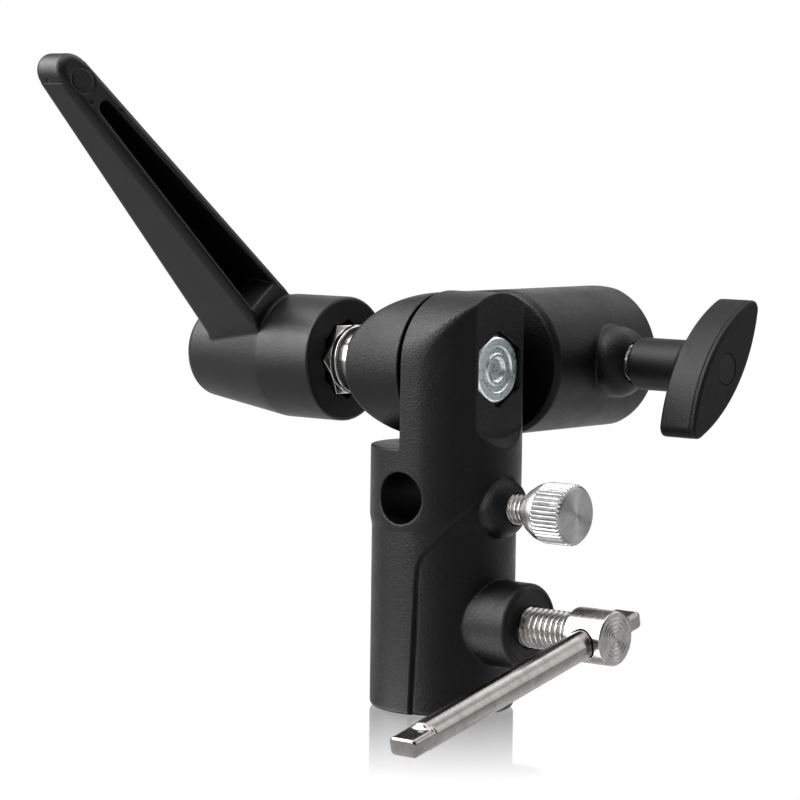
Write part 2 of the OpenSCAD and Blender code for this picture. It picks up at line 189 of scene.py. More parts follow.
def crossings(value, at, shifts):
    """The middle of the surface's crossings with each cell's edges, within the cell from 0 to 1."""
    corner = np.empty((len(at), 2, 2, 2))
    for i, j, k in shifts:
        corner[:, i, j, k] = value[at[:, 0] + i, at[:, 1] + j, at[:, 2] + k]
    place = np.zeros((len(at), 3))
    hits = np.zeros(len(at))
    for axis in range(3):
        a, b = np.take(corner, 0, axis + 1), np.take(corner, 1, axis + 1)
        crossed = (a < 0) != (b < 0)
        along = np.where(crossed, a / np.where(crossed, a - b, 1), 0)
        others = [n for n in range(3) if n != axis]
        for u in (0, 1):
            for v in (0, 1):
                here = crossed[:, u, v]
                place[:, axis] += along[:, u, v]
                place[:, others[0]] += here * u
                place[:, others[1]] += here * v
                hits += here
    return place / hits[:, None]


def faces_between(inside, number):
    """A quad round each grid edge that crosses the surface, turned outwards."""
    quads = []
    for a in range(3):
        b, c = (a + 1) % 3, (a + 2) % 3
        below = inside.take(range(inside.shape[a] - 1), axis=a)
        above = inside.take(range(1, inside.shape[a]), axis=a)
        edge = np.argwhere(below != above)
        up = below[tuple(edge.T)]
        ring = []
        for db, dc in ((1, 1), (0, 1), (0, 0), (1, 0)):
            cell = edge.copy()
            cell[:, b] -= db
            cell[:, c] -= dc
            ring.append(number[tuple(cell.T)])
        quad = np.stack(ring, 1)
        quad[~up] = quad[~up][:, ::-1]
        quads.append(quad)
    return np.concatenate(quads)


def surface(field, low, high, step):
    """Vertices, quads, normals and edge sharpness of the surface where the field is 0."""
    step *= COARSER
    low = np.array(low, float) - MARGIN * step
    counts = [int(math.ceil((b - a) / step)) + 2 for a, b in zip(low, high)]
    lines = [a + step * np.arange(n) for a, n in zip(low, counts)]
    value = field(*np.meshgrid(*[line.astype(np.float32) for line in lines], indexing="ij"))
    inside = value < 0
    cells = tuple(n - 1 for n in counts)
    corners_inside = np.zeros(cells, np.int8)
    shifts = [(i, j, k) for i in (0, 1) for j in (0, 1) for k in (0, 1)]
    for i, j, k in shifts:
        corners_inside += inside[i:i + cells[0], j:j + cells[1], k:k + cells[2]]
    at = np.argwhere((corners_inside > 0) & (corners_inside < 8))
    number = np.full(cells, -1, np.int64)
    number[tuple(at.T)] = np.arange(len(at))

    start = low + step * (at + crossings(value, at, shifts))
    points = start
    for _ in range(4):
        g = slope(field, points, SLOPE_REACH)
        size = np.maximum((g * g).sum(1), 0.05)
        points = points - g * (field(*points.T) / size)[:, None]
        points = start + np.clip(points - start, -MAX_MOVE * step, MAX_MOVE * step)
    normals = slope(field, points, 0.25 * step)
    normals /= np.maximum(np.linalg.norm(normals, axis=1), 1e-6)[:, None]
    return points, faces_between(inside, number), normals, sharpness(field, points)


def piece(name, field, step, material, node, slot):
    """A shown piece made from a field, in place of a CAD node."""
    points, quads, normals, bend = surface(field, *node_box(node), step)
    mesh = bpy.data.meshes.new(name)
    mesh.vertices.add(len(points))
    mesh.vertices.foreach_set("co", (points * MM).astype(np.float32).ravel())
    mesh.loops.add(quads.size)
    mesh.loops.foreach_set("vertex_index", quads.astype(np.int32).ravel())
    mesh.polygons.add(len(quads))
    mesh.polygons.foreach_set("loop_start", np.arange(0, quads.size, 4, dtype=np.int32))
    mesh.update(calc_edges=True)
    mesh.validate()
    mesh.shade_smooth()
    mesh.normals_split_custom_set_from_vertices([tuple(n) for n in normals])
    mesh.attributes.new("edge", "FLOAT", "POINT").data.foreach_set("value", bend.astype(np.float32))
    mesh.materials.append(material)
    obj = bpy.data.objects.new(name, mesh)
    bpy.context.scene.collection.objects.link(obj)
    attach(obj, frame["nodes"][node]["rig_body"])
    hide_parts(node)


# ---------- Shared sizes, in mm ----------

TILT_H = JOINTS["head_tilt"]["pos_m"][2] / MM
THUMB_Z = JOINTS["umbrella_turn"]["pos_m"][2] / MM
STAND_Z = JOINTS["stand_turn"]["pos_m"][2] / MM
KNOB_Y = JOINTS["knob_turn"]["pos_m"][1] / MM

SOCKET_R = 8.1  # both spigot sockets
CLAMP_R = 4.0  # the M8 clamp screws
THUMB_R = 3.0  # the M6 clamp screw
HOLE_PLAY = 0.12  # between a clamp screw and its hole
M8_PITCH, M8_THREAD_DEPTH = 1.25, 0.62
M6_PITCH, M6_THREAD_DEPTH = 1.0, 0.5

BOLT_R = 4.0
BOLT_AF = 13.0
BOLT_FACE_X = 12.5
BOLT_BACK_X = 7.2
BOLT_END_X = -28.5

# From the head's seat towards -X: where the washer, the spacer, the nut's collar and the nut end
SEAT_X = -14.1
WASHER_X = -15.7
SPACER_X = -23.4
COLLAR_X = -24.9
NUT_END_X = -34.0
NUT_AF = 13.9
NUT_THREAD_DEPTH = -0.001  # its bore is as good as plain


# ---------- Castings ----------

BODY_R = 15.0  # both castings
SHELF_DROP = 15.6
SHELF_Z = TILT_H - SHELF_DROP  # the column's shelf beside its ear
HEAD_SHELF_Y = SHELF_DROP + 1
EAR_X = -0.1  # inner face of the column's ear
HEAD_EAR_X = -0.7  # inner face of the head's ear

LOWER_R = 14.6  # the column below its ear
LOWER_TOP, LOWER_BLEND = 35.8, 2.8
PANEL_R = 14.1  # the sunk panel around the clamp bosses
PANEL_TOP, PANEL_BLEND = 44, 6
SEAM_FOOT, SEAM_BEND, SEAM_TOP = (3.1, 0.0), (4.3, 30.4), (12.9, 40.8)  # x and z of the panel's edge
SEAM_BEND_R = 0.9
SPOT_X, SPOT_R = 13.1, 13.4  # flat round the bolt's head
STAND_DEPTH = 34.0
UMBRELLA_R, UMBRELLA_Z = 5.1, 42.6

BARREL_END = node_box("head_body")[1][1]
HEAD_DEPTH = 32.0

BOSS_START_X = 6  # inside the casting
THUMB_BOSS_R, THUMB_BOSS_X, THUMB_BOSS_CURVE = 6.2, 18.0, 4.4
KNOB_BOSS_R, KNOB_BOSS_X, KNOB_BOSS_CURVE = 7.3, 20.2, 5.0
STAND_BOSS_R, STAND_BOSS_X, STAND_BOSS_START_X = 8.5, 22, 8.6
STAND_BOSS_CHAMFER = 0.9
STAND_DISH_R, STAND_DISH_X = 7.1, 21.75  # shallow dish in the stand boss' face


def domed_boss(x, a, b, r, face, curve):
    return both(both(rod(a, b, r), x - face, curve), BOSS_START_X - x)


def seam_depth(x, z):
    """How far a point is inside the sunk panel around the clamp bosses, seen along Y."""

    def beside(p, q):
        length = math.hypot(q[0] - p[0], q[1] - p[1])
        return ((x - p[0]) * (q[1] - p[1]) - (z - p[1]) * (q[0] - p[0])) / length

    return -both(-beside(SEAM_FOOT, SEAM_BEND), -beside(SEAM_BEND, SEAM_TOP), SEAM_BEND_R)


def column_field(x, y, z):
    """The column's outside: a cylinder whose lower part, panel and seam are sunk, with a mitred ear."""
    inside = seam_depth(x, z)
    radius = LOWER_R + (BODY_R - LOWER_R) * ramp((z - LOWER_TOP) / LOWER_BLEND)
    radius = radius - (LOWER_R - PANEL_R) * ramp(inside / 0.5 + 0.5) * ramp((PANEL_TOP - z) / PANEL_BLEND)
    seam = groove(inside + 0.1, 0.25 + 0.45 * ramp((34 - z) / 20), 0.24)
    d = both(np.hypot(x, y) - radius + seam, rod(y, np.maximum(z - TILT_H, 0), BODY_R), 0.9)
    d = both(d, -z, 1.1)
    return cut(d, both(x - EAR_X, SHELF_Z - z, 0.6), 0.35)


def stand_socket_field(x, y, z):
    h = z - TILT_H
    d = column_field(x, y, z)
    spot_ledge = (np.hypot(y, np.minimum(h, 0)) - SPOT_R - (x - SPOT_X)) * math.sqrt(0.5)
    d = cut(d, both(SPOT_X - x, spot_ledge, 0.25), 0.14)
    d = either(d, domed_boss(x, y, z - THUMB_Z, THUMB_BOSS_R, THUMB_BOSS_X, THUMB_BOSS_CURVE), 0.35)
    stand_boss = bevelled(rod(y, z - STAND_Z, STAND_BOSS_R), x - STAND_BOSS_X, STAND_BOSS_CHAMFER, 0.35)
    stand_boss = cut(stand_boss, both(rod(y, z - STAND_Z, STAND_DISH_R), STAND_DISH_X - x, 0.1), 0.15)
    d = either(d, both(stand_boss, STAND_BOSS_START_X - x), 0.4)
    d = cut(d, both(rod(x, y, SOCKET_R), z - STAND_DEPTH, 0.3), 0.5)
    d = cut(d, rod(x, z - UMBRELLA_Z, UMBRELLA_R), 0.4)
    d = cut(d, both(rod(y, z - THUMB_Z, THUMB_R + HOLE_PLAY), 2 - x), 0.25)
    d = cut(d, both(rod(y, z - STAND_Z, CLAMP_R + HOLE_PLAY), 4 - x), 0.3)
    d = cut(d, both(hexagon(y, h, BOLT_AF + 0.3), BOLT_BACK_X - x, 0.1), 0.12)
    return cut(d, both(rod(y, h, BOLT_R + 0.2), x - BOLT_BACK_X - 1), 0.1)


def head_field(x, y, z):
    h = z - TILT_H
    d = both(rod(x, h, BODY_R), rod(h, np.minimum(y, 0), BODY_R), 1.3)
    d = both(d, y - BARREL_END, 3.0)
    step = both(HEAD_EAR_X - x, y - HEAD_SHELF_Y, 0.5)
    d = bevelled(d, -step, 0.15 + 0.85 * ramp((y - 6) / 6), 0.14)
    d = cut(d, both(x - SEAT_X, y - HEAD_SHELF_Y, 0.8), 0.5)
    d = either(d, domed_boss(x, y - KNOB_Y, h, KNOB_BOSS_R, KNOB_BOSS_X, KNOB_BOSS_CURVE), 0.5)
    d = cut(d, both(rod(x, h, SOCKET_R), BARREL_END - HEAD_DEPTH - y, 0.3), 0.5)
    d = cut(d, both(rod(y - KNOB_Y, h, CLAMP_R + HOLE_PLAY), 4 - x), 0.3)
    return cut(d, rod(y, h, BOLT_R + 0.05), 0.2)


# ---------- Tilt clamp ----------

def bolt_field(x, y, z):
    h = z - TILT_H
    from_axis = np.hypot(y, h)
    head = both(hexagon(y, h, BOLT_AF), slab(x, BOLT_BACK_X, BOLT_FACE_X), 0.12)
    head = both(head, cone(from_axis, BOLT_FACE_X - x, 6.25, 1.3), 0.15)
    ring = both(slab(from_axis, 3.2, 4.5), BOLT_FACE_X - 0.3 - x, 0.05)
    dimple = both(from_axis - 2.3, BOLT_FACE_X - 0.55 - x, 0.2)
    head = cut(cut(head, ring, 0.12), dimple, 0.2)
    shank = both(screw(x, y, h, BOLT_R, M8_PITCH, 0.6), slab(x, BOLT_END_X, BOLT_BACK_X + 1), 0.5)
    return either(head, shank, 0.1)


def nut_field(x, y, z):
    h = z - TILT_H
    from_axis = np.hypot(y, h)
    collar = both(from_axis - 6.85, slab(x, COLLAR_X, SPACER_X), 0.3)
    prism = both(hexagon(y, h, NUT_AF, math.pi / 6), slab(x, NUT_END_X, COLLAR_X + 0.2), 0.12)
    prism = both(prism, cone(from_axis, COLLAR_X - x, 7.0, 1.7), 0.1)
    d = either(collar, prism, 0.1)
    d = cut(d, both(screw(x, y, h, BOLT_R + 0.05, M8_PITCH, NUT_THREAD_DEPTH), -29.5 - x), 0.3)
    return cut(d, both(from_axis - 2.5, x + 29, 0.1), 0.2)


def ring_field(x, y, z, r, low, high, edge):
    """A ring on the bolt."""
    return both(slab(np.hypot(y, z - TILT_H), BOLT_R + 0.05, r), slab(x, low, high), edge)


def spacer_field(x, y, z):
    return ring_field(x, y, z, 6.75, SPACER_X, WASHER_X, 0.35)


def washer_field(x, y, z):
    return ring_field(x, y, z, 8.0, WASHER_X, SEAT_X, 0.25)


# ---------- Lever ----------

HUB_R, HUB_END_R = 12.65, 9.0
HUB_FACE_X, HUB_CONE_X, HUB_END_X = -26.0, -40.3, -63.0
HUB_TAPER = (HUB_R - HUB_END_R - 0.3) / (HUB_CONE_X - HUB_END_X)
SPLINE_END_X = -34.4
SHOULDER_X = -36.5
SPRING_BORE_R = 6.8
LEVER_SCREW_R = 2.5

LEVER_TURN = math.radians(38)  # about the tilt axis, at rest
LEVER_REACH = 76.0  # from the tilt axis to the arm's tip
ARM_START = 6  # inside the hub
ARM_FOOT = 12.65  # where the arm leaves the hub
ARM_FACE_X, ARM_BACK_X = -39.3, -56.1  # at the arm's foot
ARM_CLIP_X = -40.0
FACE_LEAN = math.tan(math.radians(18.6))
BACK_LEAN = math.tan(math.radians(10.5))
ARM_ROOT_W, ARM_TIP_W = 6.0, 3.8  # half widths

POCKET_LOW, POCKET_HIGH = 15.9, 64.7
POCKET_LOW_W, POCKET_HIGH_W = 4.1, 1.7  # half widths
POCKET_FLOOR_T = 2.0
POCKET_RISE = 4.0  # the pocket's lower end rises this much from its mouth to its floor
LEDGE_SCALE = 0.95  # turns a height over that end into about a distance
DISC_H, DISC_R = 70.3, 2.6  # round mark near the tip
NOTCHES = ((-1.9, 66.2, 0.42), (2.4, 61.0, 0.45))  # across the arm, along it, radius
PIT_H, PIT_X, PIT_R = 73.0, -64.0, 0.4


def hub_field(x, from_axis):
    hub_r = HUB_R - HUB_TAPER * np.maximum(HUB_CONE_X - x, 0)
    hub = both(from_axis - hub_r + groove(x - HUB_CONE_X, 0.06, 0.16), x - HUB_FACE_X, 0.7)
    return both(hub, HUB_END_X - x, 2.2)


def tapered_slot(across, h, low, low_w, tip_h, tip_w):
    """A strip that narrows from half width low_w at low to a round end of radius tip_w at tip_h."""
    half = low_w + (tip_w - low_w) * (h - low) / (tip_h - low)
    return np.where(h > tip_h, np.hypot(across, np.maximum(h - tip_h, 0)) - tip_w, np.abs(across) - half)


def arm_sides(across, h):
    """The arm's outline from the side. Its round end is a little narrower than the taper leads to."""
    tip_h = LEVER_REACH - ARM_TIP_W
    taper = (ARM_TIP_W - ARM_ROOT_W) / (LEVER_REACH - ARM_FOOT)
    half = ARM_ROOT_W + taper * (np.minimum(h, tip_h) - ARM_FOOT)
    round_end = np.hypot(across, np.maximum(h - tip_h, 0)) - ARM_TIP_W
    return np.where(h > tip_h, round_end, np.abs(across) - half)


def arm_field(x, across, h):
    """The arm and its pocket. across and h are measured across and along the arm."""
    face_x = ARM_FACE_X - (h - ARM_FOOT) * FACE_LEAN
    face = (x - face_x) / math.hypot(1, FACE_LEAN)
    back = (ARM_BACK_X - (h - ARM_FOOT) * BACK_LEAN - x) / math.hypot(1, BACK_LEAN)
    arm = both(both(face, arm_sides(across, h), 1.6), back, 1.5)
    arm = both(arm, x - ARM_CLIP_X, 0.3)
    arm = both(arm, ARM_START - h)

    sides = tapered_slot(across, h, POCKET_LOW, POCKET_LOW_W, POCKET_HIGH - POCKET_HIGH_W, POCKET_HIGH_W)
    ledge_slope = POCKET_RISE / (ARM_FACE_X - ARM_BACK_X - POCKET_FLOOR_T)
    ledge = (POCKET_LOW + (face_x - 0.5 - x) * ledge_slope - h) * LEDGE_SCALE
    pocket = both(both(sides, back + POCKET_FLOOR_T, 0.5), ledge, 0.4)
    arm = cut(arm, pocket, 0.45)

    disc = rod(across, (h - DISC_H) * math.hypot(1, FACE_LEAN), DISC_R)
    arm = arm + groove(disc, 0.16, 0.22) * ramp(2 - np.abs(face))
    for a, b, r in NOTCHES:
        arm = cut(arm, ball(across - a, h - b, face, r), 0.1)
    return cut(arm, ball(across + ARM_TIP_W, h - PIT_H, x - PIT_X, PIT_R), 0.1)


def lever_field(x, y, z):
    up = z - TILT_H
    from_axis = np.hypot(y, up)
    across = y * math.cos(LEVER_TURN) + up * math.sin(LEVER_TURN)
    h = up * math.cos(LEVER_TURN) - y * math.sin(LEVER_TURN)
    d = either(hub_field(x, from_axis), arm_field(x, across, h), 0.45)
    spline = np.minimum(hexagon(y, up, NUT_AF + 0.2), hexagon(y, up, NUT_AF + 0.2, math.pi / 6))
    d = cut(d, both(spline, SPLINE_END_X - x, 0.1), 0.15)
    d = cut(d, both(from_axis - SPRING_BORE_R, x - SHOULDER_X, 0.1), 0.4)
    return cut(d, from_axis - LEVER_SCREW_R - 0.1, 0.1)


def lever_screw_field(x, y, z):
    h = z - TILT_H
    from_axis = np.hypot(y, h)
    shank = both(from_axis - LEVER_SCREW_R, slab(x, -58, -30), 0.3)
    head = both(from_axis - 4.25, slab(x, -61.6, -57.6), 0.45)
    head = cut(head, both(hexagon(y, h, 4), x + 59.2, 0.05), 0.15)
    return either(shank, head)


# ---------- Umbrella clamp ----------

THUMB_TIP_X = 7.2
THUMB_BACK_X, THUMB_FACE_X = 22.0, 32.3
THUMB_END_X = THUMB_BACK_X + 6
THUMB_TEETH = 40
KNURL_X, KNURL_R = 25.3, 5.7


def thumb_screw_field(x, y, z):
    thread = screw(x, y, z - THUMB_Z, THUMB_R, M6_PITCH, M6_THREAD_DEPTH)
    return both(thread, slab(x, THUMB_TIP_X, THUMB_END_X), 0.3)


def thumb_knob_field(x, y, z):
    h = z - THUMB_Z
    from_axis = np.hypot(y, h)
    tooth = zigzag(np.arctan2(h, y) / (2 * math.pi) * THUMB_TEETH)
    knurl = 0.28 - 0.5 * np.clip(1 - tooth / 0.8, 0, 1)
    radius = KNURL_R + knurl * ramp((x - KNURL_X) / 0.4)
    knob = both((from_axis - radius) * 0.85, slab(x, THUMB_BACK_X, THUMB_FACE_X), 0.3)
    knob = both(knob, cone(from_axis, x - THUMB_BACK_X, 4.2, 0.6), 0.3)
    knob = both(knob, cone(from_axis, THUMB_FACE_X - x, 5.3, 1), 0.1)
    return cut(knob, both(from_axis - THUMB_R, x - THUMB_END_X), 0.05)


# ---------- Stand clamp ----------

BAR_DROOP = math.radians(13)
BAR_X, BAR_R = 37.5, 2.8
BAR_FAR, BAR_LEN = 11.4, 71.0
BAR_FLAT_W, BAR_FLAT_T = 3.05, 1.75  # half sizes
T_SCREW_START_X, T_SCREW_END_X = 9.9, 34.0
T_HEAD_X, T_HEAD_FACE_X, T_HEAD_R = 33.2, 42.1, 5.3
LATHE_RING_PITCH, LATHE_RING_DEPTH = 0.85, 0.045


def along_bar(y, z):
    """Position along the tommy bar, and square to it in the YZ plane."""
    h = z - STAND_Z
    along = y * math.cos(BAR_DROOP) + h * math.sin(BAR_DROOP)
    square = h * math.cos(BAR_DROOP) - y * math.sin(BAR_DROOP)
    return along, square


def stand_screw_field(x, y, z):
    h = z - STAND_Z
    from_axis = np.hypot(y, h)
    thread = screw(x, y, h, CLAMP_R, M8_PITCH, M8_THREAD_DEPTH)
    shank = both(thread, slab(x, T_SCREW_START_X, T_SCREW_END_X), 0.3)
    head = both(from_axis - T_HEAD_R, slab(x, T_HEAD_X, T_HEAD_FACE_X), 0.4)
    rings = LATHE_RING_DEPTH * np.cos(from_axis * 2 * math.pi / LATHE_RING_PITCH)
    rings = rings * (x > T_HEAD_FACE_X - 0.5) * ramp((4.6 - from_axis) / 0.5)
    d = either(shank, head + rings, 0.15)
    square = along_bar(y, z)[1]
    return cut(d, rod(x - BAR_X, square, BAR_R + 0.1), 0.3)


def tommy_bar_field(x, y, z):
    along, square = along_bar(y, z)
    near = BAR_FAR - BAR_LEN
    shaft = both(rod(x - BAR_X, square, BAR_R), slab(along, near + 5.0, BAR_FAR - 5.2), 1.1)
    flat = both(slab(x - BAR_X, -BAR_FLAT_W, BAR_FLAT_W), slab(square, -BAR_FLAT_T, BAR_FLAT_T), 1.0)
    near_flat = both(flat, slab(along, near, near + 6.5), 0.6)
    far_flat = both(flat, slab(along, BAR_FAR - 5.8, BAR_FAR), 1.6)
    return either(either(shaft, near_flat, 0.5), far_flat, 0.4)


# ---------- Head clamp ----------

STUD_START_X = 9.9
SHAFT_X, SHAFT_R = 20.5, 5.3
STUD_END_X = SHAFT_X + 14
WING_BACK_X, WING_FACE_X = 33.4, 41.8
WING_TURN = math.radians(38.8)
WING_LEN, WING_HALF_W = 33.5, 5.8
RECESS_R, RECESS_DEPTH = 3.2, 0.6


def on_wing(y, z):
    """Position across and along the wing, from its middle."""
    a, b = y - KNOB_Y, z - TILT_H
    across = a * math.cos(WING_TURN) - b * math.sin(WING_TURN)
    along = a * math.sin(WING_TURN) + b * math.cos(WING_TURN)
    return across, along


def wing_field(x, y, z):
    across, along = on_wing(y, z)
    half_chord = WING_LEN / 2 + 1.8
    arc_r = (half_chord ** 2 + WING_HALF_W ** 2) / (2 * WING_HALF_W)
    outline = rod(np.abs(across) + arc_r - WING_HALF_W, along, arc_r)
    outline = both(outline, rod(across, along, WING_LEN / 2), 1.2)
    outline = outline + groove(x - WING_FACE_X + 1.1, 0.16, 0.2)
    blade = both(outline, slab(x, WING_BACK_X, WING_FACE_X), 0.8)
    from_axis = np.hypot(y - KNOB_Y, z - TILT_H)
    shaft = both(from_axis - SHAFT_R, slab(x, SHAFT_X, WING_BACK_X + 3), 1.5)
    d = either(blade, shaft, 0.9)
    d = cut(d, both(from_axis - RECESS_R, WING_FACE_X - RECESS_DEPTH - x, 0.05), 0.1)
    return cut(d, both(from_axis - CLAMP_R, x - STUD_END_X), 0.2)


def cap_field(x, y, z):
    from_axis = np.hypot(y - KNOB_Y, z - TILT_H)
    return both(from_axis - RECESS_R + 0.1, slab(x, WING_FACE_X - RECESS_DEPTH, WING_FACE_X - 0.1), 0.08)


def stud_field(x, y, z):
    thread = screw(x, y - KNOB_Y, z - TILT_H, CLAMP_R - 0.02, M8_PITCH, M8_THREAD_DEPTH)
    return both(thread, slab(x, STUD_START_X, STUD_END_X - 0.1), 0.3)


# ---------- Materials ----------

def set_map_range(node, low, high, new_low, new_high):
    for key, value in zip(("From Min", "From Max", "To Min", "To Max"), (low, high, new_low, new_high)):
        node.inputs[key].default_value = value


class Nodes:
    """A material's node tree, built a node at a time."""

    def __init__(self, name):
        self.material = bpy.data.materials.new(name)
        self.material.use_nodes = True
        self.tree = self.material.node_tree
        self.shader = self.tree.nodes["Principled BSDF"]
        self.place = self.add("ShaderNodeTexCoord").outputs["Object"]

    def add(self, kind, **values):
        node = self.tree.nodes.new(kind)
        for key, value in values.items():
            setattr(node, key, value)
        return node

    def link(self, source, target):
        self.tree.links.new(source, target)

    def noise(self, size_mm, detail=3.0, rough=0.6, stretch=(1, 1, 1)):
        """Noise whose features are about size_mm across, longer where stretch is above 1."""
        mapping = self.add("ShaderNodeMapping")
        mapping.inputs["Scale"].default_value = [1 / (MM * size_mm * s) for s in stretch]
        self.link(self.place, mapping.inputs["Vector"])
        noise = self.add("ShaderNodeTexNoise")
        noise.inputs["Scale"].default_value = 1.0
        noise.inputs["Detail"].default_value = detail
        noise.inputs["Roughness"].default_value = rough
        self.link(mapping.outputs["Vector"], noise.inputs["Vector"])
        return noise.outputs["Fac"]

    def edge(self, low, high):
        """0 on flats and 1 on sharp outer edges."""
        attribute = self.add("ShaderNodeAttribute", attribute_name="edge")
        return self.spread(attribute.outputs["Fac"], low, high, 0, 1)

    def spread(self, source, low, high, new_low, new_high):
        """The source's values from low to high, moved to the new range."""
        node = self.add("ShaderNodeMapRange")
        set_map_range(node, low, high, new_low, new_high)
        self.link(source, node.inputs["Value"])
        return node.outputs["Result"]

    def math(self, operation, a, b):
        node = self.add("ShaderNodeMath", operation=operation)
        for socket, value in zip(node.inputs, (a, b)):
            if isinstance(value, (int, float)):
                socket.default_value = value
            else:
                self.link(value, socket)
        return node.outputs[0]

    def colour(self, factor, first, second):
        node = self.add("ShaderNodeMix", data_type="RGBA")
        self.link(factor, node.inputs["Factor"])
        node.inputs["A"].default_value = (*first, 1)
        node.inputs["B"].default_value = (*second, 1)
        self.link(node.outputs["Result"], self.shader.inputs["Base Color"])

    def roughness(self, source):
        self.link(source, self.shader.inputs["Roughness"])

    def bump(self, height, strength, depth_mm, under=None):
        node = self.add("ShaderNodeBump")
        node.inputs["Strength"].default_value = strength
        node.inputs["Distance"].default_value = depth_mm * MM
        self.link(height, node.inputs["Height"])
        if under is not None:
            self.link(under, node.inputs["Normal"])
        self.link(node.outputs["Normal"], self.shader.inputs["Normal"])
        return node.outputs["Normal"]

    def lathe_grain(self, height):
        """Stretches reflections across the marks of turning around an axis along X at that height."""
        arm = self.add("ShaderNodeVectorMath", operation="SUBTRACT")
        arm.inputs[1].default_value = (0, 0, height * MM)
        self.link(self.place, arm.inputs[0])
        round_axis = self.add("ShaderNodeVectorMath", operation="CROSS_PRODUCT")
        round_axis.inputs[1].default_value = (1, 0, 0)
        self.link(arm.outputs["Vector"], round_axis.inputs[0])
        self.link(round_axis.outputs["Vector"], self.shader.inputs["Tangent"])
        self.set(Anisotropic=0.8, Anisotropic_Rotation=0.25)

    def set(self, **values):
        for key, value in values.items():
            self.shader.inputs[key.replace("_", " ")].default_value = value


def powder_coat():
    """Black powder coat: a fine sandy texture, lighter along edges in patches, partly as wear and partly as a
    painted highlight.
    """
    n = Nodes("powder_coat_black")
    sand = n.noise(0.32, detail=4, rough=0.65)
    cloud = n.noise(7)
    # painted highlight, partly wear: the base colour lightens along sharp edges, broken up by noise
    edge_wear_and_highlight = n.math("MULTIPLY", n.edge(0.25, 1.6), n.spread(n.noise(1.1), 0.35, 0.65, 0.5, 1))
    n.colour(n.math("ADD", n.math("MULTIPLY", sand, 0.5), n.math("MULTIPLY", edge_wear_and_highlight, 0.7)),
             (0.002, 0.002, 0.0024), (0.012, 0.012, 0.014))
    n.roughness(n.spread(n.math("ADD", sand, cloud), 0.7, 1.3, 0.26, 0.46))
    n.set(Specular_IOR_Level=0.31)
    swell = n.bump(n.noise(1.6, detail=2), strength=0.2, depth_mm=0.05)
    n.bump(n.noise(0.42, rough=0.7), strength=1.0, depth_mm=0.13, under=swell)
    return n.material


def moulded_plastic(name, grain_mm, gloss, specular=0.38):
    """Black glass-filled nylon with a fine spark-eroded grain, and a painted highlight that lightens its
    edges.
    """
    n = Nodes(name)
    grain = n.noise(grain_mm, detail=4)
    # painted highlight: the base colour lightens along sharp outer edges
    edge_wear_and_highlight = n.edge(0.3, 1.8)
    n.colour(n.math("ADD", n.math("MULTIPLY", grain, 0.5), n.math("MULTIPLY", edge_wear_and_highlight, 0.6)),
             (0.0035, 0.0035, 0.0042), (0.014, 0.014, 0.016))
    n.roughness(n.spread(n.math("ADD", grain, n.noise(9, detail=2)), 0.6, 1.4, gloss, gloss + 0.16))
    n.set(Specular_IOR_Level=specular)
    swell = n.bump(n.noise(2.4, detail=2), strength=0.15, depth_mm=0.05)
    n.bump(grain, strength=0.7, depth_mm=0.08, under=swell)
    return n.material


def turned_metal(name, colour, dull, roughness, line_mm=0.14, strength=0.2, stretch=(1, 30, 30), height=None):
    """Bare metal with fine lathe lines around X. With its axis' height, it also fans the light as they do."""
    n = Nodes(name)
    if height is not None:
        n.lathe_grain(height)
    lines = n.noise(line_mm, stretch=stretch)
    stain = n.noise(2.2, detail=4)
    n.colour(n.spread(stain, 0.4, 0.7, 0, 1), colour, dull)
    n.roughness(n.spread(n.math("ADD", lines, stain), 0.7, 1.3, roughness * 0.75, roughness * 1.35))
    n.set(Metallic=1.0)
    n.bump(lines, strength, depth_mm=0.02)
    return n.material


def zinc_plate():
    """Bright zinc on the bolt: bluish, slightly mottled."""
    n = Nodes("zinc_plate")
    mottle = n.noise(0.9, detail=5, rough=0.7)
    n.colour(n.spread(mottle, 0.35, 0.7, 0, 1), (0.92, 0.97, 0.97), (0.62, 0.68, 0.69))
    n.roughness(n.spread(mottle, 0.3, 0.7, 0.2, 0.42))
    n.set(Metallic=1.0)
    n.bump(n.noise(0.5), strength=0.22, depth_mm=0.04)
    return n.material


COAT = powder_coat()
LEVER_PLASTIC = moulded_plastic("lever_nylon_black", 0.36, 0.31, 0.42)
KNOB_PLASTIC = moulded_plastic("knob_nylon_black", 0.24, 0.37, 0.22)
ZINC = zinc_plate()
NICKEL = turned_metal("bright_nickel", (0.54, 0.53, 0.52), (0.44, 0.43, 0.42), 0.16)
STEEL = turned_metal("turned_steel", (0.44, 0.43, 0.42), (0.34, 0.33, 0.32), 0.26, strength=0.1)
T_STEEL = turned_metal("t_screw_steel", (0.4, 0.39, 0.38), (0.3, 0.29, 0.28), 0.28, height=STAND_Z)
ALLOY = turned_metal("knurled_alloy", (0.38, 0.38, 0.38), (0.34, 0.34, 0.34), 0.4, height=THUMB_Z)
CHROME = turned_metal("bar_chrome", (0.29, 0.28, 0.27), (0.23, 0.22, 0.21), 0.17,
                      line_mm=0.2, strength=0.1, stretch=(30, 30, 30))
BRASS = turned_metal("brass_tip", (0.75, 0.56, 0.25), (0.55, 0.4, 0.18), 0.3)
SPRING = turned_metal("spring_wire", (0.55, 0.55, 0.56), (0.35, 0.35, 0.36), 0.3)
BLACK_OXIDE = turned_metal("black_oxide_steel", (0.05, 0.05, 0.055), (0.02, 0.02, 0.022), 0.35)
FIBRE = moulded_plastic("friction_fibre", 0.5, 0.6)


# ---------- Pieces ----------

